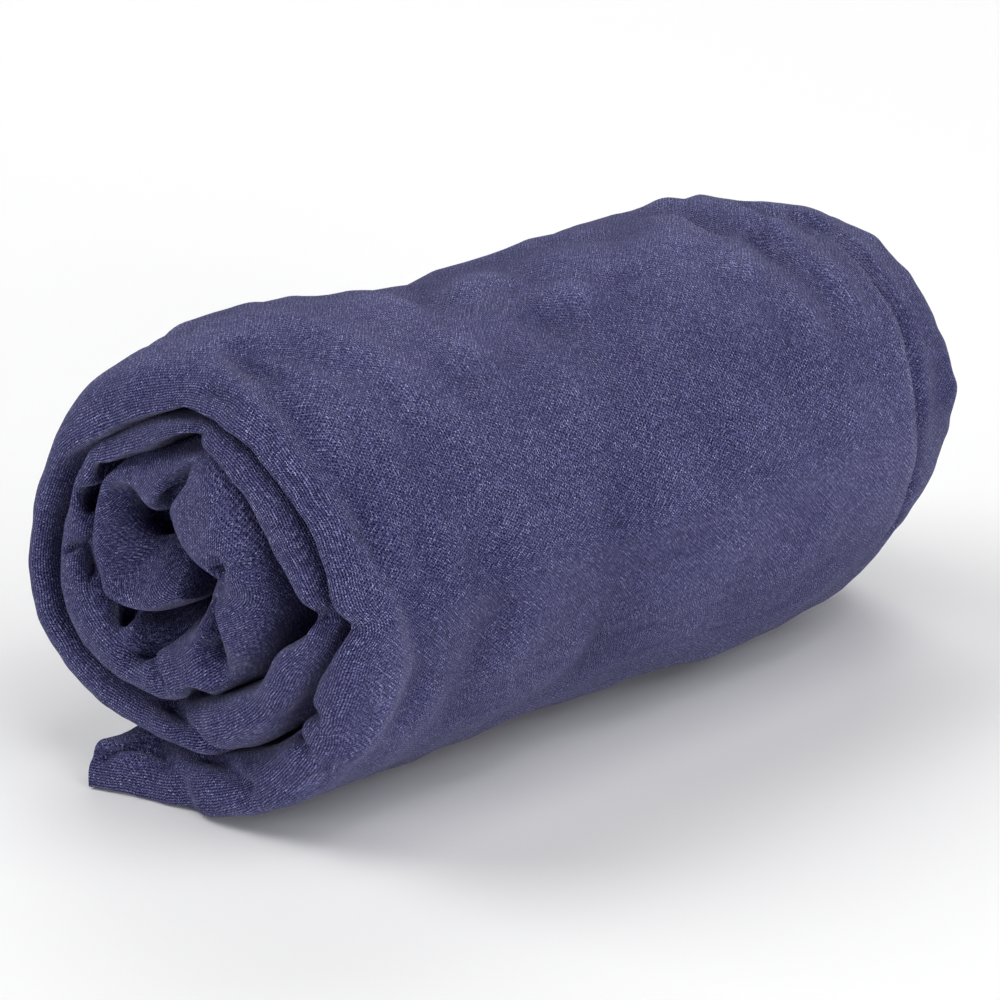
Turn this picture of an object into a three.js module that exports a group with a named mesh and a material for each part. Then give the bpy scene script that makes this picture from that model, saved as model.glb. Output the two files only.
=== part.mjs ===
// A fitted sheet of cotton jersey, folded lengthwise into a soft strip and rolled up.
// The strip is one piece of cloth: a loose end on the floor, three turns inwards, and a thin
// inner end that curls round the open eye of the roll. Its folded edges are the roll's two ends.
// Millimetres, +Z up. X runs along the roll, with its open end at -X. The floor is at Z = 0.

import * as THREE from "three";
import { mergeVertices } from "three/addons/utils/BufferGeometryUtils.js";

const { clamp, degToRad, euclideanModulo, lerp, smoothstep } = THREE.MathUtils;

// Driving dimensions
const ROLL_LENGTH = 175;
const EYE_HEIGHT = 51.3;
const EYE_ASIDE = 11.2;
const ROLL_ALONG = 1.4;
const EYE_CORE_RADIUS = 0.8;
const EYE_CLOSES_WITHIN = 30;
const LAYER_GAP = 1.2;

// The strip's loose and inner ends, in degrees wound on from straight down under the eye.
// Below 0 the strip lies straight along the floor, as long as the arc it would have wound.
const TAIL_TURN = -11;
const CORE_TURN = 1118;
const END_REACH = 2.5;

// The winding, a row for each eighth of a turn: 0 degrees is down, 90 is -Y, 180 is up, 270 is +Y.
// outer and inner: the strip's two faces, from the eye. shift: how far the strip is pushed out
// of the open end. crest: where its folded edges stand out most, from inner face to outer.
// reach: how far along the roll a folded edge is rounded.
const TURN_STEP = 45;
const WINDING = [
  { turn: -45, outer: 51.6, inner: 42.6, shift: 16.5, crest: 0.6, reach: 3 },
  { turn: 0, outer: 51.6, inner: 41.8, shift: 2.5, crest: 0.65, reach: 4 },
  { turn: 45, outer: 57.0, inner: 45.0, shift: -0.5, crest: 0.5, reach: 12 },
  { turn: 90, outer: 57.5, inner: 51.0, shift: 0, crest: 0.3, reach: 13 },
  { turn: 135, outer: 45.6, inner: 39.2, shift: 0, crest: 0.2, reach: 13 },
  { turn: 180, outer: 34.6, inner: 24.3, shift: -1, crest: 0.15, reach: 13 },
  { turn: 225, outer: 31.4, inner: 21.4, shift: 0, crest: 0.2, reach: 12 },
  { turn: 270, outer: 33.2, inner: 26.0, shift: 0, crest: 0.35, reach: 10 },
  { turn: 315, outer: 40.7, inner: 34.2, shift: 0, crest: 0.45, reach: 9 },
  { turn: 360, outer: 40.2, inner: 33.1, shift: 0, crest: 0.45, reach: 8 },
  { turn: 405, outer: 43.8, inner: 33.4, shift: 2, crest: 0.5, reach: 10 },
  { turn: 450, outer: 49.2, inner: 42.5, shift: 2, crest: 0.5, reach: 8 },
  { turn: 495, outer: 37.4, inner: 32.2, shift: 1, crest: 0.4, reach: 7 },
  { turn: 540, outer: 23.0, inner: 18.8, shift: 0, crest: 0.2, reach: 5 },
  { turn: 585, outer: 20.2, inner: 16.8, shift: 0, crest: 0.3, reach: 4 },
  { turn: 630, outer: 23.8, inner: 16.2, shift: 0, crest: 0.5, reach: 6 },
  { turn: 675, outer: 31.8, inner: 19.8, shift: 1, crest: 0.5, reach: 9 },
  { turn: 720, outer: 31.6, inner: 20.8, shift: 2, crest: 0.5, reach: 9 },
  { turn: 765, outer: 32.0, inner: 17.0, shift: 2, crest: 0.5, reach: 8 },
  { turn: 810, outer: 33.6, inner: 10.2, shift: 2, crest: 0.5, reach: 7 },
  { turn: 855, outer: 30.8, inner: 9.4, shift: 1, crest: 0.4, reach: 7 },
  { turn: 900, outer: 17.0, inner: 7.4, shift: 0, crest: 0.3, reach: 7 },
  { turn: 945, outer: 15.2, inner: 11.0, shift: 0, crest: 0.4, reach: 7 },
  { turn: 990, outer: 13.8, inner: 8.4, shift: 0, crest: 0.7, reach: 9 },
  { turn: 1035, outer: 16.6, inner: 10.4, shift: 0, crest: 0.7, reach: 9 },
  { turn: 1080, outer: 14.7, inner: 9.4, shift: 0, crest: 0.7, reach: 9 },
  { turn: 1125, outer: 13.6, inner: 8.8, shift: -3, crest: 0.7, reach: 9 },
];
const INNERMOST_TURN = 768;
const INNERMOST_WITHIN = 20;

// Creases of the innermost turn, under and above the tongue that hangs into the eye.
const EYE_CREASES = [
  { turn: 790, spreadTurn: 8, depth: 5 },
  { turn: 863, spreadTurn: 6, depth: 7 },
];

// Where a folded edge and a cut end are thinnest, as shares of the strip's thickness.
const EDGE_TIP = 0.15;
const END_TIP = 0.75;

// The girth at even steps along the roll from the open end, as shares of the winding's sizes.
const GIRTH = [1.0, 1.0, 0.995, 0.99, 0.99, 0.995, 0.99, 0.975, 0.95];

// Soft swellings and hollows of the roll, as shares of the radius.
const SWELLS = [
  { turn: 205, along: -52, spreadTurn: 42, spread: 18, rise: 0.11 },
  { turn: 40, along: 50, spreadTurn: 28, spread: 28, rise: 0.07 },
  { turn: 45, along: 93, spreadTurn: 40, spread: 20, rise: -0.14 },
  { turn: 195, along: 92, spreadTurn: 45, spread: 17, rise: -0.13 },
  { turn: 205, along: -57, spreadTurn: 40, spread: 8, rise: 0.05 },
  { turn: 95, along: 92, spreadTurn: 35, spread: 14, rise: 0.03 },
  { turn: 105, along: 79, spreadTurn: 30, spread: 3.5, rise: -0.02 },
  { turn: 160, along: 70, spreadTurn: 25, spread: 4, rise: -0.02 },
];

// The grid: faces along the winding and along the roll, closer together at the folded edges.
const WINDING_FACES = 112;
const ROLL_FACES = 24;
const EDGE_CROWDING = 0.85;

const curveThrough = (values) => new THREE.SplineCurve(values.map((v, i) => new THREE.Vector2(i, v)));
const COLUMNS = Object.keys(WINDING[0]).map((name) => [name, curveThrough(WINDING.map((row) => row[name]))]);
const girthCurve = curveThrough(GIRTH);

// The strip's sizes at a place in the winding.
function sectionAt(turn) {
  const share = (turn - WINDING[0].turn) / TURN_STEP / (WINDING.length - 1);
  return Object.fromEntries(COLUMNS.map(([name, curve]) => [name, curve.getPoint(share).y]));
}

function creaseAt(turn) {
  const creases = EYE_CREASES.map((crease) => {
    const away = (turn - crease.turn) / crease.spreadTurn;
    return crease.depth * Math.exp(-(away ** 2) / 2);
  });
  return creases.reduce((sum, depth) => sum + depth, 0);
}

function girthAt(along) {
  return girthCurve.getPoint(clamp(along / ROLL_LENGTH + 0.5, 0, 1)).y;
}

function swellAt(turn, along) {
  let share = 1;
  for (const swell of SWELLS) {
    const aside = euclideanModulo(turn - swell.turn + 180, 360) - 180;
    const away = (aside / swell.spreadTurn) ** 2 + ((along - swell.along) / swell.spread) ** 2;
    share += swell.rise * Math.exp(-away / 2);
  }
  return share;
}

// The thickness of a rounded edge at a distance from its tip, as a share of the full strip.
function edgeProfile(distance, reach, thinnest) {
  const inside = clamp(1 - distance / reach, 0, 1);
  return Math.max(thinnest, Math.sqrt(1 - inside * inside));
}

// A point of the strip: its turn, its share of the way along the roll, and +1 on its inner face.
function pointOnStrip(turn, alongShare, face) {
  const { outer, inner, shift, crest, reach } = sectionAt(turn);
  const creased = inner + creaseAt(turn);
  const along = (alongShare - 0.5) * ROLL_LENGTH - shift;
  const fromTip = Math.min(alongShare, 1 - alongShare) * ROLL_LENGTH;

  // Past the mouth of the eye each turn lies close on the next, and the innermost fills the eye.
  const nextTurn = sectionAt(Math.min(turn + 360, CORE_TURN)).outer + LAYER_GAP;
  const innermost = smoothstep(turn, INNERMOST_TURN, INNERMOST_TURN + INNERMOST_WITHIN);
  const snug = Math.min(creased, lerp(nextTurn, EYE_CORE_RADIUS, innermost));
  const innerHere = lerp(creased, snug, smoothstep(fromTip, 0, EYE_CLOSES_WITHIN));

  const tip = lerp(innerHere, outer, crest);
  const fromEnd = degToRad(Math.min(turn - TAIL_TURN, CORE_TURN - turn)) * tip;
  const profile = edgeProfile(fromTip, reach, EDGE_TIP) * edgeProfile(fromEnd, END_REACH, END_TIP);
  const girth = girthAt(along);
  const radius = lerp(tip, face > 0 ? innerHere : outer, profile) * girth * swellAt(turn, along);

  const wound = degToRad(Math.max(turn, 0));
  const laid = degToRad(Math.max(-turn, 0)) * EYE_HEIGHT;
  const across = EYE_ASIDE - radius * Math.sin(wound) + laid;
  const up = EYE_HEIGHT * girth - radius * Math.cos(wound);
  return new THREE.Vector3(along + ROLL_ALONG, across, Math.max(up, 0));
}

// The flat strip as a thin block, wound up vertex by vertex.
function rolledSheetGeometry() {
  const strip = new THREE.BoxGeometry(1, 1, 2, WINDING_FACES, ROLL_FACES, 1);
  const points = strip.getAttribute("position");
  for (let i = 0; i < points.count; i++) {
    const turn = lerp(TAIL_TURN, CORE_TURN, points.getX(i) + 0.5);
    const even = points.getY(i) + 0.5;
    const crowded = even - (EDGE_CROWDING * Math.sin(2 * Math.PI * even)) / (2 * Math.PI);
    points.setXYZ(i, ...pointOnStrip(turn, crowded, points.getZ(i)));
  }
  strip.deleteAttribute("normal");
  strip.deleteAttribute("uv");
  const closed = mergeVertices(strip);
  closed.computeVertexNormals();
  return closed;
}

const jersey = new THREE.MeshStandardMaterial({ color: 0x4e4e73, roughness: 0.95, metalness: 0 });

const rolledSheet = new THREE.Mesh(rolledSheetGeometry(), jersey);
rolledSheet.name = "rolled_sheet";

const fittedSheet = new THREE.Group();
fittedSheet.add(rolledSheet);

export default fittedSheet;
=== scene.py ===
import math

import bpy
import numpy as np
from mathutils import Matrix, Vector


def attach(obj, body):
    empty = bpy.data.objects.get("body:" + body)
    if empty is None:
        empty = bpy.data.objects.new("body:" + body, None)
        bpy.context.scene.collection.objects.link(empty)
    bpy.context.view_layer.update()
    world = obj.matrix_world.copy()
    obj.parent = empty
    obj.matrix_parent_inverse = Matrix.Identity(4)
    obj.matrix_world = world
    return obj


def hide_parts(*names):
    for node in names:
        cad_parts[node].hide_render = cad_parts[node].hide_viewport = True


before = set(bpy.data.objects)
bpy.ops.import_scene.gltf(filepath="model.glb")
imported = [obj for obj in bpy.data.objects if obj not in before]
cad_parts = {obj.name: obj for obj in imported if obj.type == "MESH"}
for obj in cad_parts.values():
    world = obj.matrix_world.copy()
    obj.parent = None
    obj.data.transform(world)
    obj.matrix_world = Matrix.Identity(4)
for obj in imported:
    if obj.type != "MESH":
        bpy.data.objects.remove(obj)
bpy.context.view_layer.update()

# The rolled sheet. A fitted cot sheet of thin cotton jersey, folded lengthwise into a soft strip of
# about twelve plies and rolled up by hand from its inner end. Nothing ties it: the loose end lies
# under the roll on the floor, and the strip's two folded edges show as the roll's ends.
# Sizes are in millimetres, from the floor up, with X along the roll and its open end at -X.
MM = 0.001
ROLL_LENGTH = 175.0
EYE_HEIGHT = 51.3
EYE_ASIDE = 11.2
ROLL_ALONG = 1.4
EYE_CORE_RADIUS = 0.8
LAYER_GAP = 1.2

# The strip's loose and inner ends, in degrees wound on from straight down under the eye, and how each
# is rounded: over which length, and how thick its tip is as a share of the strip.
TAIL_TURN = -11.0
CORE_TURN = 1118.0
END_REACH = 2.5
END_TIP = 0.82
END_COLUMNS = 7

# The winding, row by row in degrees wound on: 0 is down, 90 is -Y, 180 is up and 270 is +Y.
# How far the strip's outer face and its inner face are from the eye.
OUTER_FACE = np.array([
    (-45, 51.6), (0, 51.6), (45, 57.0), (90, 57.5), (135, 45.6), (180, 34.6), (225, 31.4),
    (270, 33.2), (315, 40.7), (360, 40.2), (405, 43.8), (420, 45.0), (433, 46.8), (444, 49.4),
    (452, 49.4), (465, 46.0), (495, 37.4), (526, 26.8), (540, 23.4), (561, 20.8), (585, 20.6),
    (610, 21.8), (630, 23.8), (650, 27.8), (675, 31.8), (698, 32.0), (729, 31.4), (746, 30.7),
    (763, 31.7), (778, 34.0), (807, 34.0), (831, 32.4), (848, 32.0), (861, 29.6), (873, 24.8),
    (886, 19.4), (906, 15.9), (948, 15.2), (975, 13.8), (1005, 13.8), (1029, 15.7), (1042, 17.6),
    (1065, 16.4), (1080, 14.7), (1105, 13.4), (1125, 13.6),
])
INNER_FACE = np.array([
    (-45, 42.6), (0, 41.8), (45, 45.0), (56, 46.0), (66, 46.7), (75, 48.4), (84, 51.0), (91, 51.2),
    (105, 47.6), (135, 39.2), (153, 32.6), (166, 27.2), (180, 23.3), (201, 20.2), (225, 20.7),
    (250, 23.8), (270, 26.0), (290, 30.2), (315, 34.2), (338, 33.6), (369, 32.7), (386, 31.9),
    (403, 33.0), (420, 36.0), (433, 37.8), (441, 43.0), (447, 45.4), (455, 40.6), (466, 35.4),
    (480, 33.6), (495, 32.0), (510, 28.0), (526, 21.6), (540, 17.4), (565, 15.6), (577, 15.8),
    (585, 16.8), (592, 16.2), (600, 15.8), (607, 16.4), (614, 18.0), (620, 17.4), (628, 15.4),
    (642, 15.4), (655, 17.0), (664, 18.6), (671, 19.8), (678, 19.6), (690, 20.6), (720, 20.8),
    (740, 20.0), (756, 19.2), (767, 18.4), (779, 18.4), (790, 19.6), (797, 20.8), (803, 21.6),
    (807, 21.0), (810, 18.0), (813, 15.4), (818, 13.4), (830, 11.8), (847, 11.6), (855, 12.2),
    (860, 14.0), (863.5, 17.0), (867, 13.0), (872, 9.2), (879, 7.2), (890, 6.2), (903, 6.8),
    (914, 8.6), (925, 10.4), (948, 11.0), (975, 8.4), (1005, 8.4), (1029, 9.6), (1042, 11.2),
    (1065, 10.6), (1080, 9.4), (1105, 8.6), (1125, 8.8),
])
# How far the strip is pushed out of the open end.
PUSHED_OUT = np.array([
    (-45, 10), (-11, 6), (0, 2.5), (15, 0), (45, -0.5), (90, 0), (135, 0), (180, -1), (225, 0),
    (360, 0), (405, 2), (450, 2), (495, 1), (540, 0), (630, 0), (675, 1), (720, 2), (790, 2),
    (804, 1.6), (814, 3.4), (850, 3), (868, 1), (900, 0), (1080, 0), (1125, -3),
])
# Where its folded edge stands out most, 0 at the inner face and 1 at the outer.
CREST = np.array([
    (-45, 0.95), (-11, 0.95), (0, 0.88), (15, 0.75), (30, 0.62), (45, 0.5), (90, 0.3), (135, 0.2),
    (180, 0.15), (225, 0.2), (270, 0.35), (315, 0.45), (360, 0.45), (405, 0.5), (450, 0.5),
    (495, 0.4), (540, 0.2), (575, 0.2), (600, 0.45), (640, 0.5), (810, 0.5), (855, 0.4), (900, 0.3),
    (945, 0.45), (990, 0.68), (1125, 0.68),
])
# How far along the roll that edge is rounded.
ROUNDED = np.array([
    (-45, 3), (-11, 3), (0, 4), (15, 6), (30, 9), (45, 12), (90, 13), (180, 13), (225, 12),
    (270, 10), (315, 9), (360, 8), (405, 10), (450, 8), (495, 7), (540, 5), (585, 4), (630, 6),
    (675, 9), (720, 9), (765, 8), (810, 7), (855, 7), (900, 7), (945, 7), (990, 9), (1125, 9),
])
# How far in from the mouth of the eye each turn comes to lie close on the next.
CLOSES_WITHIN = np.array([
    (-45, 30), (360, 30), (720, 30), (890, 32), (930, 28), (960, 21), (990, 15), (1035, 13),
    (1080, 13), (1125, 16),
])
# Where the innermost turn starts, which has only the eye inside it, and within how many degrees.
INNERMOST_TURN = 768.0
INNERMOST_WITHIN = 20.0

# The girth at even steps along the roll from the open end, as shares of the winding's sizes.
GIRTH = np.array([1.0, 1.0, 0.995, 0.99, 0.99, 0.995, 0.99, 0.975, 0.95])

# Soft swellings and hollows: turn, place along, spread round in degrees, spread along, rise as a
# share of the radius.
SWELLS = np.array([
    (205, -52, 42, 18, 0.11),
    (40, 50, 28, 28, 0.07),
    (45, 93, 40, 20, -0.14),
    (195, 92, 45, 17, -0.13),
    (205, -57, 40, 8, 0.05),
    (95, 92, 35, 14, 0.03),
    (105, 79, 30, 3.5, -0.02),
    (160, 70, 25, 4, -0.02),
])

# Creases and soft folds, each along a line of places on the cloth: degrees wound on, and millimetres
# over the open end's folded edge, above 0 on the outer face and below 0 on the inner face.
# Before the line, half its width and how far it goes in; a fold that stands out goes in below 0.
FOLDS = [
    # the tail: its top ply folded over, the dents behind that, and the tuck under the roll
    (1.1, 3.0, [(-8.7, -6), (-5.3, -9), (-2, -12)]),
    (1.8, 3.2, [(-3.6, -13.5), (1.8, -10.5), (6, -7)]),
    (1.5, 2.8, [(15, -10.5), (23, -8.3), (28.5, -4.6), (32.4, -1.7)]),
    (1.6, 1.0, [(11, -5), (13, 0)]),
    # the outer turn: notches of its edge at the right, and the dip beside its edge at the top
    (1.3, 2.6, [(55, -5), (56, 0)]),
    (1.4, 2.6, [(64, -6), (65, -1)]),
    (2.0, 3.4, [(87, -7), (88, 1.5)]),
    (1.6, 0.8, [(165, 7.8), (150, 4.6), (135, 3.6), (122, 3.4), (110, 4)]),
    # the second turn: the diagonal fold below, the knee at the right and the tucks at the left
    (1.5, 3.0, [(362, -6), (370, -3.7), (382, 0.5), (385, 3.5), (388, 8)]),
    (1.2, 3.0, [(449, -7), (449, 3.5)]),
    (1.6, 2.0, [(508, -4), (508, 0.5)]),
    (1.5, 4.0, [(587, -6.5), (592, -3.5)]),
    (1.5, 4.5, [(615, -7.5), (620, -5), (622, -3.5)]),
    (0.7, 3.0, [(643, -8), (647, -3), (648.5, 0.5)]),
    (1.1, 4.5, [(653, -3.8), (660, -5), (664, -5.6)]),
    # the inner roll: the pockets of its lower side with a ridge between them, the valleys below the
    # eye, the dent under its inner fold, the deep crease above that and the hollow beside them
    (1.7, 6.5, [(688, -11), (692, -9)]),
    (1.4, -1.5, [(698, -11), (705, -7.4), (709, -5.5)]),
    (1.7, 7.0, [(713, -3.6), (717, -8), (727, -11.5)]),
    (0.9, 1.8, [(724, -5), (730, -1.8), (734, 1)]),
    (1.7, 8.0, [(784, -9), (782, -7.5), (777.5, -3), (772, -0.5)]),
    (1.5, 3.5, [(772, -0.5), (768, 3.8)]),
    (0.9, 4.0, [(786, -7), (783, -4), (779, -1.5)]),
    (1.3, 3.5, [(748, 5.5), (742, 9), (739, 12)]),
    (0.9, 3.4, [(812, -2.5), (815.5, 0), (818, 1.6)]),
    (1.3, 6.5, [(866, 1.2), (865.5, -2), (866, -4), (867, -9)]),
    (2.6, 8.0, [(964, -12.5), (980, -14), (1000, -16)]),
    # the long side, from the open end: the bead beside the outer turn's edge, and the hollows by it
    (1.6, -0.6, [
        (172, 16), (142, 6.8), (123, 4.7), (108, 6.4), (95, 9.4), (85, 12.7), (77, 15), (69, 13.7),
        (58, 11.5),
    ]),
    (2.5, 1.2, [
        (160, 17), (142, 11.5), (123, 9.5), (108, 11), (95, 14), (85, 17.5), (77, 20), (66, 19),
    ]),
    (1.5, 2.0, [(154, 4.2), (150, 3.3), (146, 2.3)]),
    (2.0, 1.5, [(180, 4.7), (171, 3.6), (163, 1.8)]),
    # soft folds that run round with the winding, each a ridge or a hollow
    (2.2, -0.9, [
        (147, 34.3), (129, 36.4), (113, 42), (99, 48), (92, 50), (84, 51), (75, 51.2), (65, 49),
        (52, 48.6),
    ]),
    (4.5, 1.6, [(92, 38), (85, 38.5), (78, 39.5), (72, 37.8), (60, 36)]),
    (4.5, 1.6, [(84, 70), (77, 71.3), (70, 73), (60, 74)]),
    (2.6, -1.7, [(180, 57), (170, 57.5), (156, 56), (145, 55.5), (135, 57)]),
    (3.5, 1.4, [(205, 67), (185, 66.5), (168, 66), (152, 69)]),
    (1.5, -1.5, [(186, 73.9), (168, 72.8), (157, 75.8), (150, 79)]),
    (2.0, 1.5, [(176, 77), (166, 77.3), (158, 79.5), (150, 83.5)]),
    (6.0, 1.6, [(235, 91), (205, 91), (190, 90)]),
    (2.6, 1.3, [(141, 80), (133, 82), (122, 86)]),
    (1.6, -1.7, [
        (178, 81.4), (167, 81.8), (160, 83), (154, 85.1), (143, 89.6), (134, 93), (125, 96.5),
    ]),
    (3.0, 1.3, [(185, 88), (174, 88), (162, 89), (150, 93)]),
    (2.4, -0.7, [(145, 109), (127, 124), (110, 133), (94, 137)]),
    (1.6, -1.4, [(176, 114.5), (168, 122), (156, 124.3), (146, 126.5), (132, 131)]),
    (5.0, 1.0, [(235, 110), (205, 110), (195, 110)]),
    (3.5, 1.3, [(200, 123), (183, 125), (170, 129)]),
    (2.2, -0.6, [(165, 131), (150, 128.3), (129, 135), (111, 140.3), (96, 139.3)]),
    (2.8, 0.9, [(190, 139), (178, 138.5), (161, 139.4), (148, 142), (135, 147), (118, 149)]),
    # the far end: a ridge round it, and a fine crease between that and its folded edge
    (1.5, -1.1, [
        (180, 156), (165, 152), (152, 150), (141, 155), (132, 159.5), (120, 160.3), (108, 159.4),
        (98, 157.8), (89, 157), (74, 158.5), (64, 156),
    ]),
    (1.1, 2.0, [
        (150, 162), (137, 164.5), (125, 164.8), (106, 163), (97, 161.5), (87, 161), (74, 162.5),
        (62, 160),
    ]),
]

# Near the open end's edge a fold is pressed in from that end, as well as from its face.
PRESSED_FROM_END = 0.8
PRESSED_WITHIN = 9.0

# Unevenness of cloth rolled by hand: waves that run more or less round the roll, and ripples that
# cross the folded edges.
SEED = 27
WAVES = 14
WAVE_LENGTHS = (9.0, 34.0)
WAVE_HEIGHT = 0.14
ROUND_THE_ROLL = (1.0, 0.4, 0.4)
RIPPLES = 9
RIPPLE_LENGTHS = (5.0, 12.0)
RIPPLE_HEIGHT = 0.05
RIPPLE_REACH = 7.0
RIPPLE_LEAN = 0.4

# Wrinkles of the long side: round the roll with a lean, away from the folded edges (millimetres
# from the open end's), from the smooth belly at the front over the top to the back (in turn).
WRINKLES = 9
WRINKLE_LENGTHS = (7.0, 17.0)
WRINKLE_RISE = 0.028
WRINKLE_LEAN = (0.3, 0.15)
WRINKLE_LASTS = (8.0, 16.0)
WRINKLE_EBB_LEAN = 1.5
WRINKLES_START = (6, 26)
WRINKLES_STOP = (160, 176)
SMOOTH_BELLY = (55, 150)
BACK = (290, 345)

# The grid: columns along the winding, closest where the cloth is creased most, and points across
# each face of the strip, closest over its folded edges.
COLUMNS = 780
CLOSENESS = np.array([
    (-45, 1.2), (-11, 1.2), (60, 1), (100, 0.9), (330, 0.9), (360, 1.1), (560, 1.1), (600, 1.5),
    (690, 1.5), (770, 1.6), (800, 2.4), (870, 2.4), (900, 1.4), (960, 1.0), (1125, 0.9),
])
EDGE_FULLNESS = 0.8
MIDDLE_CROWDING = 0.11
SAMPLES_A_COLUMN = 20
NEAR_RIM, MIDDLE, FAR_RIM = 22, 27, 12


def through_rows(rows, at):
    """A smooth curve through rows of (place, value): between two rows the cubic whose slope at each
    row is that of the line from the row before it to the row after it."""
    place, value = rows.T.astype(float)
    slope = np.empty_like(value)
    slope[1:-1] = (value[2:] - value[:-2]) / (place[2:] - place[:-2])
    slope[[0, -1]] = (value[[1, -1]] - value[[0, -2]]) / (place[[1, -1]] - place[[0, -2]]) / 2
    low = np.clip(np.searchsorted(place, at, side="right") - 1, 0, len(place) - 2)
    span = place[low + 1] - place[low]
    part = (at - place[low]) / span
    rise = value[low + 1] - value[low]
    first, last = slope[low] * span, slope[low + 1] * span
    climb = first + part * (3 * rise - 2 * first - last + part * (first + last - 2 * rise))
    return value[low] + part * climb


def soft_step(value, start, end):
    """0 before start, 1 after end, and the smooth cubic 3s^2 - 2s^3 between them."""
    share = np.clip((value - start) / (end - start), 0, 1)
    return share * share * (3 - 2 * share)


def girth_at(along):
    """The roll's girth as a share, a smooth curve through GIRTH along the roll."""
    steps = np.linspace(-ROLL_LENGTH / 2, ROLL_LENGTH / 2, len(GIRTH))
    return through_rows(np.stack([steps, GIRTH], axis=1), np.clip(along, steps[0], steps[-1]))


def swell_at(turn, along):
    """1 plus a bell for each swelling, round its turn and along its place."""
    share = np.ones(np.broadcast(turn, along).shape)
    for at_turn, at_along, spread_turn, spread_along, rise in SWELLS:
        aside = np.mod(turn - at_turn + 180, 360) - 180
        away = (aside / spread_turn) ** 2 + ((along - at_along) / spread_along) ** 2
        share += rise * np.exp(-away / 2)
    return share


def turns_along(count):
    """Turns from the loose end to the inner end and their distances along the folded edge: steps in
    inverse proportion to their closeness, and the few next to each end in steps that round it, as the
    sine of a quarter circle."""
    fine = np.linspace(TAIL_TURN, CORE_TURN, SAMPLES_A_COLUMN * count)
    outer, inner, crest = (through_rows(rows, fine) for rows in (OUTER_FACE, INNER_FACE, CREST))
    tip = inner + (outer - inner) * crest
    length = np.concatenate([[0], np.cumsum(np.diff(np.radians(fine)) * (tip[1:] + tip[:-1]) / 2)])
    corner = np.linspace(math.asin(END_TIP), math.pi / 2, END_COLUMNS + 1)[:-1]
    rounded = END_REACH - END_REACH * np.cos(corner)
    rounded = rounded - rounded[0]
    close = through_rows(CLOSENESS, fine)
    crowd = np.concatenate([[0], np.cumsum(np.diff(length) * (close[1:] + close[:-1]) / 2)])
    ends = np.interp([rounded[-1], length[-1] - rounded[-1]], length, crowd)
    between = np.interp(np.linspace(*ends, count - 2 * END_COLUMNS + 2), crowd, length)
    distance = np.concatenate([rounded[:-1], between, length[-1] - rounded[-2::-1]])
    return np.interp(distance, length, fine), distance, length[-1]


def across_strip(reach):
    """Distances from the open end's edge and thickness shares of one face, edge to edge: a full
    quarter ellipse over each folded edge, its sine and cosine to a power below 1, from 0 at the edge
    to 1 a reach further on, and 1 between."""
    near = np.linspace(0, math.pi / 2, NEAR_RIM + 1)
    far = np.linspace(math.pi / 2, 0, FAR_RIM + 1)
    between = np.linspace(0, 1, MIDDLE + 2)[1:-1]
    between = between - MIDDLE_CROWDING * np.sin(2 * math.pi * between)
    reach = reach[:, None]
    distance = np.concatenate([
        reach * (1 - np.cos(near) ** EDGE_FULLNESS),
        reach + (ROLL_LENGTH - 2 * reach) * between,
        ROLL_LENGTH - reach * (1 - np.cos(far) ** EDGE_FULLNESS),
    ], axis=1)
    near_share, far_share = np.sin(near) ** EDGE_FULLNESS, np.sin(far) ** EDGE_FULLNESS
    return distance, np.concatenate([near_share, np.ones(MIDDLE), far_share])


def wound_strip(turn, from_end):
    """The strip wound up: for each turn a ring of points that starts at the far folded edge, comes
    back along the inner face to the open end's edge and goes out again along the outer face. A face's
    distance from the eye closes in on the crest by the share that a folded edge or a cut end has."""
    outer, inner, shift, crest, reach, closes = (
        through_rows(rows, turn)
        for rows in (OUTER_FACE, INNER_FACE, PUSHED_OUT, CREST, ROUNDED, CLOSES_WITHIN)
    )
    distance, share = across_strip(reach)
    from_tip = np.minimum(distance, ROLL_LENGTH - distance)
    along = distance - ROLL_LENGTH / 2 - shift[:, None]

    # Past the mouth of the eye each turn lies close on the next, and the innermost fills the eye.
    next_turn = through_rows(OUTER_FACE, np.minimum(turn + 360, CORE_TURN)) + LAYER_GAP
    innermost = soft_step(turn, INNERMOST_TURN, INNERMOST_TURN + INNERMOST_WITHIN)
    snug = np.minimum(inner, next_turn + (EYE_CORE_RADIUS - next_turn) * innermost)
    inner_face = inner[:, None] + (snug - inner)[:, None] * soft_step(from_tip, 0, closes[:, None])

    outer_face = np.broadcast_to(outer[:, None], inner_face.shape)
    tip = inner_face + (outer_face - inner_face) * crest[:, None]
    cut_off = END_REACH * (1 - math.cos(math.asin(END_TIP)))
    inside = np.clip(1 - (from_end + cut_off) / END_REACH, 0, 1)
    share = share * np.sqrt(1 - inside ** 2)[:, None]

    girth = girth_at(along)
    form = girth * swell_at(turn[:, None], along)
    wound = np.radians(np.maximum(turn, 0))[:, None]
    laid = np.radians(np.maximum(-turn, 0))[:, None] * EYE_HEIGHT

    def face_points(face):
        """One face of the strip: its distance from the eye times the sine and the cosine of the turn."""
        radius = (tip + (face - tip) * share) * form
        across = EYE_ASIDE - radius * np.sin(wound) + laid
        up = EYE_HEIGHT * girth - radius * np.cos(wound)
        return np.stack([along + ROLL_ALONG, across, up], axis=-1)

    inner_points, outer_points = face_points(inner_face), face_points(outer_face)
    return np.concatenate([inner_points[:, ::-1], outer_points[:, 1:-1]], axis=1)


def lengths_on(points, axis):
    """The running length along one direction of a grid of points, from 0."""
    steps = np.linalg.norm(np.diff(points, axis=axis), axis=-1)
    start = np.zeros_like(np.take(steps, [0], axis=axis))
    return np.concatenate([start, np.cumsum(steps, axis=axis)], axis=axis)


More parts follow.
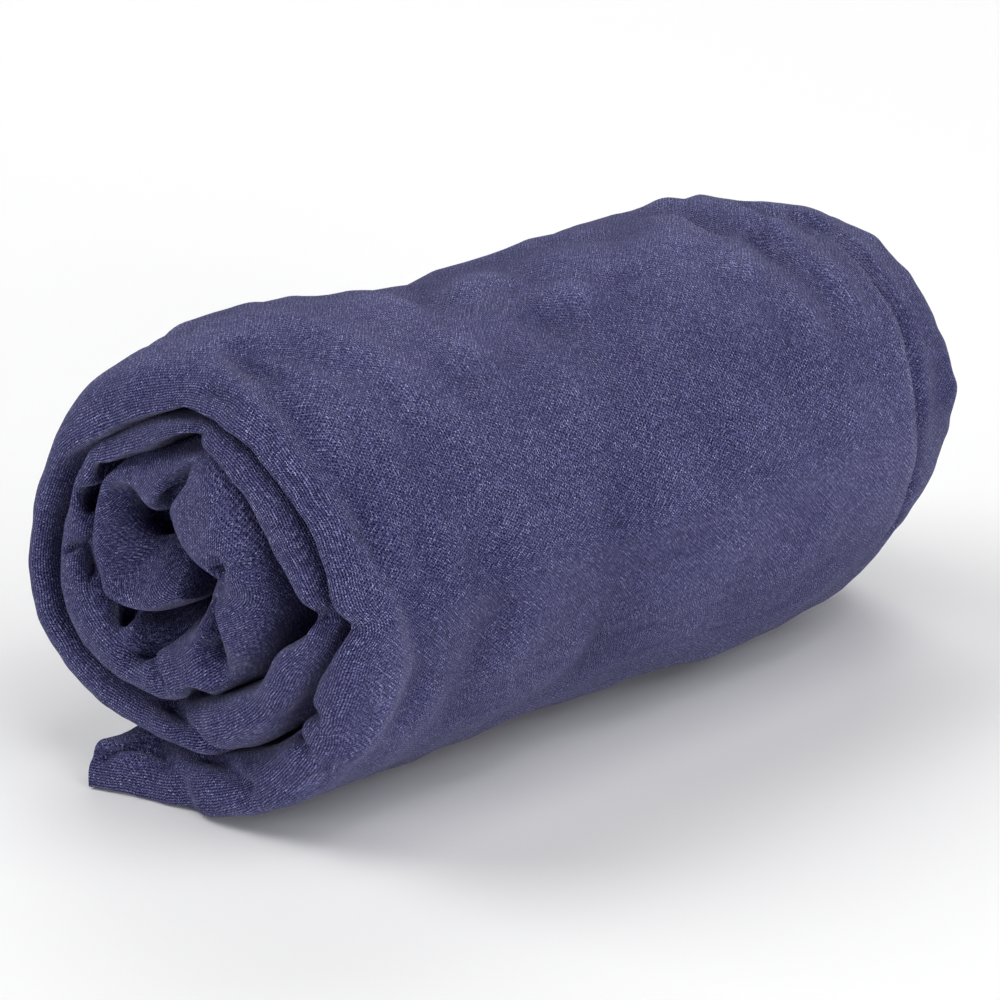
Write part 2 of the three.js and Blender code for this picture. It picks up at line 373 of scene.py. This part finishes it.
def outward(ring):
    """Unit directions out of the cloth: the steps round each ring crossed with the steps along."""
    across = np.cross(np.roll(ring, -1, axis=1) - np.roll(ring, 1, axis=1), np.gradient(ring, axis=0))
    return across / np.linalg.norm(across, axis=-1, keepdims=True)


def fold_depth(along, over):
    """How far the folds go in at each place: a bell of the distance to each fold's line."""
    depth = np.zeros(over.shape)
    for width, deep, line in FOLDS:
        turn, level = np.array(line, float).T
        ends = np.stack([np.interp(turn, turns, wound_length), level], axis=-1)
        nearest = np.full(over.shape, np.inf)
        for first, last in zip(ends[:-1], ends[1:]):
            step = last - first
            share = ((along - first[0]) * step[0] + (over - first[1]) * step[1]) / (step @ step)
            share = np.clip(share, 0, 1)
            off = (along - first[0] - share * step[0]) ** 2 + (over - first[1] - share * step[1]) ** 2
            nearest = np.minimum(nearest, off)
        depth += deep * np.exp(-nearest / (2 * width ** 2))
    return depth


def unevenness(ring, along, over):
    """A sum of seeded sine waves: in space for the whole roll, along the winding near both folded
    edges, and round the long side, where each comes and goes with a slower wave."""
    draw = np.random.default_rng(SEED)
    lift = np.zeros(over.shape)
    for _ in range(WAVES):
        heading = draw.normal(size=3) * ROUND_THE_ROLL
        heading *= 2 * math.pi / np.linalg.norm(heading) / draw.uniform(*WAVE_LENGTHS)
        lift += WAVE_HEIGHT * np.sin(ring @ heading + draw.uniform(0, 2 * math.pi))
    from_edge = np.minimum(abs(over), over.max(axis=1, keepdims=True) - abs(over))
    near_edge = np.exp(-(from_edge / RIPPLE_REACH) ** 2)
    for _ in range(RIPPLES):
        pace = 2 * math.pi / draw.uniform(*RIPPLE_LENGTHS)
        lean = draw.normal() * RIPPLE_LEAN
        phase = draw.uniform(0, 2 * math.pi)
        lift += RIPPLE_HEIGHT * near_edge * np.sin(pace * (along + lean * over) + phase)
    smooth_belly, back = (np.interp(turn, turns, wound_length) for turn in (SMOOTH_BELLY, BACK))
    long_side = soft_step(over, *WRINKLES_START) * (1 - soft_step(over, *WRINKLES_STOP))
    long_side = long_side * soft_step(along, *smooth_belly) * (1 - soft_step(along, *back))
    for _ in range(WRINKLES):
        length = draw.uniform(*WRINKLE_LENGTHS)
        run = over + draw.normal(*WRINKLE_LEAN) * along
        phase, ebb = draw.uniform(0, 2 * math.pi, 2)
        ebb_run = over + WRINKLE_EBB_LEAN * along
        coming_and_going = 0.5 + 0.5 * np.sin(ebb_run / draw.uniform(*WRINKLE_LASTS) + ebb)
        wave = np.sin(2 * math.pi * run / length + phase)
        lift += WRINKLE_RISE * length * long_side * coming_and_going * wave
    return lift


turns, wound_length, strip_length = turns_along(COLUMNS)
ring = wound_strip(turns, np.minimum(wound_length, strip_length - wound_length))
ring_count = ring.shape[1]
edge = ring_count // 2

# Places on the cloth: along the winding, measured on the open end's folded edge, and over that
# edge, measured on the surface, above 0 on the outer face and below 0 on the inner face.
closed_ring = np.concatenate([ring, ring[:, :1]], axis=1)
over = lengths_on(closed_ring, 1)
over = over - over[:, edge:edge + 1]

along_cloth, over_cloth = wound_length[:, None], over[:, :-1]
raised = unevenness(ring, along_cloth, over_cloth) - fold_depth(along_cloth, over_cloth)
facing = outward(ring)
facing[..., 0] -= PRESSED_FROM_END * np.exp(-(over_cloth / PRESSED_WITHIN) ** 2)
facing /= np.linalg.norm(facing, axis=-1, keepdims=True)
points = ring + facing * raised[..., None]
points[..., 2] = np.maximum(points[..., 2], 0)

# Faces: four-sided all round each pair of columns, and the two ends of the strip closed across.
column, place = np.meshgrid(np.arange(COLUMNS - 1), np.arange(ring_count), indexing="ij")
following = (place + 1) % ring_count
sides = np.stack([
    column * ring_count + place, column * ring_count + following,
    (column + 1) * ring_count + following, (column + 1) * ring_count + place,
], axis=-1).reshape(-1, 4)
rung = np.arange(edge)
opposite = (ring_count - rung) % ring_count
beyond_rung = ring_count - rung - 1
cap = np.stack([rung, opposite, beyond_rung, rung + 1], axis=-1)
end_caps = np.concatenate([cap, cap[:, ::-1] + (COLUMNS - 1) * ring_count])

faces = [tuple(dict.fromkeys(face)) for face in np.concatenate([sides, end_caps]).tolist()]
mesh = bpy.data.meshes.new("rolled_cloth")
mesh.from_pydata((points.reshape(-1, 3) * MM).tolist(), [], faces)
mesh.validate()

# The knit's own map: along the winding and over the folded edge, in metres, split at the far edge.
corner_of = np.empty(len(mesh.loops), int)
mesh.loops.foreach_get("vertex_index", corner_of)
starts = np.empty(len(mesh.polygons), int)
totals = np.empty(len(mesh.polygons), int)
mesh.polygons.foreach_get("loop_start", starts)
mesh.polygons.foreach_get("loop_total", totals)
corner_column, corner_place = np.divmod(corner_of, ring_count)
face_of = np.repeat(np.arange(len(totals)), totals)
highest = np.maximum.reduceat(corner_place, starts)
wraps = (corner_place == 0) & (highest[face_of] > edge)
corner_place = np.where(wraps, ring_count, corner_place)
edge_length = lengths_on(points[:, edge], 0)
knit_over = lengths_on(np.concatenate([points, points[:, :1]], axis=1), 1)
knit_over = knit_over - knit_over[:, edge:edge + 1]
knit_map = np.stack([edge_length[corner_column], knit_over[corner_column, corner_place]], axis=-1) * MM
mesh.uv_layers.new(name="knit").data.foreach_set("uv", knit_map.ravel())

# How far the long side's folds and wrinkles stand up or lie in, past its folded edge: the jersey paints
# their crests lighter, a painted highlight, and their hollows darker, a painted shade.
DEEPEST_AND_HIGHEST_PAINTED = (-2.5, 2.0)
PAST_FOLDED_EDGE = (4, 14)
long_side_raised = np.clip(raised, *DEEPEST_AND_HIGHEST_PAINTED) * soft_step(over_cloth, *PAST_FOLDED_EDGE)
mesh.attributes.new("raised", "FLOAT", "POINT").data.foreach_set("value", long_side_raised.ravel())
mesh.polygons.foreach_set("use_smooth", np.ones(len(totals), bool))
mesh.update()

scene = bpy.context.scene
rolled_cloth = bpy.data.objects.new("rolled_cloth", mesh)
scene.collection.objects.link(rolled_cloth)


class Yarn:
    """A value on its way through a finish. Sums, products and powers of it add Math nodes."""

    def __init__(self, tree, socket=None):
        self.tree, self.socket = tree, socket

    def node(self, kind, settings=None, output=0, **sockets):
        """A node of that kind: its settings are set first, then the values or links of its sockets,
        named, or numbered as _0, _1 and so on. Gives one of its outputs."""
        made = self.tree.nodes.new("ShaderNode" + kind)
        for name, value in (settings or {}).items():
            setattr(made, name, value)
        for name, value in sockets.items():
            socket = made.inputs[int(name[1:]) if name[0] == "_" else name.replace("_", " ")]
            if isinstance(value, Yarn):
                self.tree.links.new(value.socket, socket)
            else:
                socket.default_value = value
        return Yarn(self.tree, made.outputs[output]) if output is not None else None

    def maths(self, operation, *values):
        """A Math node of that operation on the values."""
        return self.node("Math", {"operation": operation}, **{f"_{i}": v for i, v in enumerate(values)})

    def __add__(self, other):
        return self.maths("ADD", self, other)

    def __sub__(self, other):
        return self.maths("SUBTRACT", self, other)

    def __rsub__(self, other):
        return self.maths("SUBTRACT", other, self)

    def __mul__(self, other):
        return self.maths("MULTIPLY", self, other)

    def __truediv__(self, other):
        return self.maths("DIVIDE", self, other)

    def __pow__(self, other):
        return self.maths("POWER", self, other)

    def cosine(self):
        return self.maths("COSINE", self)

    def exponent(self):
        """The number e to the power of this value."""
        return self.maths("EXPONENT", self)

    def floor(self):
        return self.maths("FLOOR", self)

    def at_least(self, least):
        """This value, and least where it is below that."""
        return self.maths("MAXIMUM", self, least)

    def ramp(self, start, end):
        """0 at start and 1 at end, held outside them, with a smooth step between."""
        smooth = {"interpolation_type": "SMOOTHSTEP"}
        return self.node("MapRange", smooth, Value=self, From_Min=start, From_Max=end)

    __radd__, __rmul__ = __add__, __mul__


# Jersey: columns of loops that run along the winding and lean over on the strip's inner end. Pin holes
# show between the loops, staggered from column to column, and where a folded edge stretches the cloth
# grooves open between the columns. The yarn is dyed unevenly and is hairy, and some lint clings to it.
# Sizes in metres. Depths add up to the power of e by which the colour is paler or deeper. Most are the
# yarn's own, but the shaded hairs and the long side's fold crests and hollows are painted light and
# shade.
WALE = 0.00056
COURSE = 0.00074
WALES_WANDER = 240.0
COURSES_WANDER = 310.0
WANDER = 1.5
INNER_END_TURN = 930
INNER_END_LEAN = 0.8
HOLE_DEPTH = 1.65
GROOVE_DEPTH = 0.2
BENT_INSIDE = (-0.009, -0.003)
BENT_OUTSIDE = (0.003, 0.012)
BENT_GROOVE_DEPTH = 1.4
BENT_HIDES_HOLES = 0.45
BENT_PALES = 0.16
HAIR = 0.00022
HAIR_DEPTH = 1.4
SHADED_HAIR = 0.00030
SHADED_HAIR_DEPTH = 1.2
PATCHES = 55.0
PATCH_DETAIL = 3.0
PATCH_DEPTH = 0.4
FOLD_PAINTED_LIGHT_AND_SHADE = 0.2
BLUE_HOLDS = 0.77
COTTON_BLUE = (0.0855, 0.0855, 0.208)
LINT = 190.0
LINT_RIM = (0.04, 0.09)
LINT_IS_RARE = (0.955, 0.965)
LINT_GREY = (0.22, 0.22, 0.27, 1)
HAIR_STANDS, LINT_STANDS, GROOVE_SINKS, HOLE_SINKS = 0.3, 0.5, 0.7, 0.6
RELIEF = 0.0002
RELIEF_STRENGTH = 0.8

jersey = bpy.data.materials.new("jersey")
jersey.use_nodes = True
tree = jersey.node_tree
tree.nodes.clear()
start = Yarn(tree)
place_on_cloth = start.node("UVMap", {"uv_map": "knit"})
round_roll = start.node("SeparateXYZ", output=0, Vector=place_on_cloth)
over_edge = start.node("SeparateXYZ", output=1, Vector=place_on_cloth)
place_in_roll = start.node("TexCoord", output=3)


def noise(scale, detail=2.0):
    """A cloud of lighter and darker patches about 1 / scale metres across, from -0.5 to 0.5."""
    return start.node("TexNoise", Vector=place_in_roll, Scale=scale, Detail=detail, Roughness=0.5) - 0.5


def by_cell(size):
    """The place in the roll counted in small cells of that size, in whole numbers along each axis."""
    counted = start.node("VectorMath", {"operation": "SCALE"}, _0=place_in_roll, Scale=1 / size)
    return start.node("VectorMath", {"operation": "FLOOR"}, _0=counted)


def by_chance(cell, dimensions="3D"):
    """A number from 0 to 1 of each cell's own."""
    return start.node("TexWhiteNoise", {"noise_dimensions": dimensions}, Vector=cell)


# The knit's lattice. Columns and rows are counted in loops and wander a little. A groove is the
# narrow low of a cosine across the columns. A hole is that of two cosines, across and along.
inner_end_starts = np.interp(INNER_END_TURN, turns, wound_length).item() * MM
askew = (round_roll - inner_end_starts).at_least(0)
wale = (over_edge - INNER_END_LEAN * askew) / WALE + noise(WALES_WANDER) * WANDER
course = round_roll / COURSE + noise(COURSES_WANDER) * WANDER
grooves = (0.5 + 0.5 * (wale * (2 * math.pi)).cosine()) ** 2
holes = (0.5 + 0.5 * (wale * math.pi).cosine() * (course * (2 * math.pi)).cosine()) ** 2
bent = over_edge.ramp(*BENT_INSIDE) * (1 - over_edge.ramp(*BENT_OUTSIDE))
one_loop = start.node("CombineXYZ", X=(wale + 0.5).floor(), Y=(course * 2 + 0.5).floor())
holes = holes * (0.5 + by_chance(one_loop, "2D"))

# Hairs: small cells by chance, and larger ones that lie lit and shaded side by side, as a hair and its
# shadow do. The cells are lit and shaded in turn along each axis.
hairs = by_chance(by_cell(HAIR)) - 0.5
cell = by_cell(SHADED_HAIR)
in_turn = start.node("VectorMath", {"operation": "DOT_PRODUCT"}, output="Value", _0=cell, _1=(1, 1, 1))
lit_or_shaded = (in_turn * math.pi).cosine()
shaded_hairs = lit_or_shaded * by_chance(by_cell(2 * SHADED_HAIR))
patches = noise(PATCHES, PATCH_DETAIL)
# The long side's fold heights, painted into the colour: crests lighter as painted highlight, hollows
# darker as painted shade.
painted_fold_relief = start.node("Attribute", {"attribute_name": "raised"}, output="Fac")
depth_of_colour = (
    HAIR_DEPTH * hairs + SHADED_HAIR_DEPTH * shaded_hairs + PATCH_DEPTH * patches
    + FOLD_PAINTED_LIGHT_AND_SHADE * painted_fold_relief + BENT_PALES * bent
    - (GROOVE_DEPTH + BENT_GROOVE_DEPTH * bent) * grooves
    - HOLE_DEPTH * (1 - BENT_HIDES_HOLES * bent) * holes
).exponent()
# The yarn's dye, with the painted shade of the hairs' shadows and of the long side's folds laid on it.
dye_and_painted_shade = start.node("CombineXYZ", X=depth_of_colour, Y=depth_of_colour, Z=depth_of_colour ** BLUE_HOLDS)
dyed_and_painted_shade = start.node("VectorMath", {"operation": "MULTIPLY"}, _0=COTTON_BLUE, _1=dye_and_painted_shade)

specks = {"Vector": place_in_roll, "Scale": LINT}
near_speck = start.node("TexVoronoi", output="Distance", **specks)
speck_colour = start.node("TexVoronoi", output="Color", **specks)
chosen = start.node("SeparateXYZ", output=0, Vector=speck_colour)
lint = (1 - near_speck.ramp(*LINT_RIM)) * chosen.ramp(*LINT_IS_RARE)
linted = start.node("Mix", {"data_type": "RGBA"}, output=2, _0=lint, _6=dyed_and_painted_shade, _7=LINT_GREY)

height = hairs * HAIR_STANDS + lint * LINT_STANDS - grooves * GROOVE_SINKS - holes * HOLE_SINKS
relief = start.node("Bump", Strength=RELIEF_STRENGTH, Distance=RELIEF, Height=height)
cloth = start.node(
    "BsdfPrincipled", Base_Color=linted, Roughness=0.95, Normal=relief, Specular_IOR_Level=0.12,
    Sheen_Weight=0.27, Sheen_Roughness=0.2, Sheen_Tint=(0.72, 0.72, 0.97, 1),
)
start.node("OutputMaterial", output=None, Surface=cloth)
mesh.materials.append(jersey)

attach(rolled_cloth, "root")
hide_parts("rolled_sheet")

# The floor. A plain pale studio table, much larger than the picture, of smooth matt board. The roll
# lies on it and isn't fixed to it.
FLOOR_HALF = 3.0
FLOOR_PALE = (0.93, 0.93, 0.93, 1)
FLOOR_MATT = 0.8

floor_mesh = bpy.data.meshes.new("floor")
floor_corners = [
    (-FLOOR_HALF, -FLOOR_HALF, 0), (FLOOR_HALF, -FLOOR_HALF, 0),
    (FLOOR_HALF, FLOOR_HALF, 0), (-FLOOR_HALF, FLOOR_HALF, 0),
]
floor_mesh.from_pydata(floor_corners, [], [(0, 1, 2, 3)])
floor = bpy.data.objects.new("floor", floor_mesh)
scene.collection.objects.link(floor)
pale = bpy.data.materials.new("pale_floor")
pale.use_nodes = True
pale_board = pale.node_tree.nodes["Principled BSDF"]
pale_board.inputs["Base Color"].default_value = FLOOR_PALE
pale_board.inputs["Roughness"].default_value = FLOOR_MATT
floor_mesh.materials.append(pale)

# The light. A soft white studio: four large square lamps above the roll and round it, two smaller ones
# low in front, one on its long side and one on its open end, and a faint white room.
ROOM_STRENGTH = 0.02
LAMPS = {
    "right": ((0.60, -1.66, 1.77), 23.5, 1.6),
    "left": ((-1.01, 1.45, 1.77), 30.6, 1.6),
    "back": ((1.35, 1.35, 1.61), 21.0, 1.6),
    "overhead": ((-0.06, -0.65, 2.41), 16.5, 1.6),
    "low_right": ((-0.63, -2.36, 0.52), 22.0, 1.0),
    "low_left": ((-2.41, 0.43, 0.52), 13.5, 1.0),
}

scene.view_settings.view_transform = "Standard"
world = bpy.data.worlds.new("studio")
world.use_nodes = True
room = world.node_tree.nodes["Background"]
room.inputs["Color"].default_value = (1, 1, 1, 1)
room.inputs["Strength"].default_value = ROOM_STRENGTH
scene.world = world


def hang_lamp(name, place, watts, width):
    """A square lamp of that width at a place, turned so that it faces the origin."""
    light = bpy.data.lights.new(name, "AREA")
    light.energy = watts
    light.size = width
    holder = bpy.data.objects.new(name, light)
    holder.location = place
    holder.rotation_euler = Vector(place).to_track_quat("Z", "Y").to_euler()
    scene.collection.objects.link(holder)


for name, (place, watts, width) in LAMPS.items():
    hang_lamp(name, place, watts, width)

# The camera. It stands about a metre away with a long lens, between the roll's open end and its long
# side and a little above them, as the photograph was taken.
LENS = 201.6
SENSOR = 36.0
AZIMUTH, ELEVATION = math.radians(-45), math.radians(21.4)
AIM = (0.000085, 0.002685, 0.038453)
DISTANCE = 1.098

camera_data = bpy.data.cameras.new("camera")
camera_data.lens = LENS
camera_data.sensor_width = SENSOR
camera = bpy.data.objects.new("camera", camera_data)
level = math.cos(ELEVATION)
towards_camera = Vector((math.sin(AZIMUTH) * level, -math.cos(AZIMUTH) * level, math.sin(ELEVATION)))
camera.location = Vector(AIM) + towards_camera * DISTANCE
camera.rotation_euler = (math.pi / 2 - ELEVATION, 0, AZIMUTH)
scene.collection.objects.link(camera)
scene.camera = camera
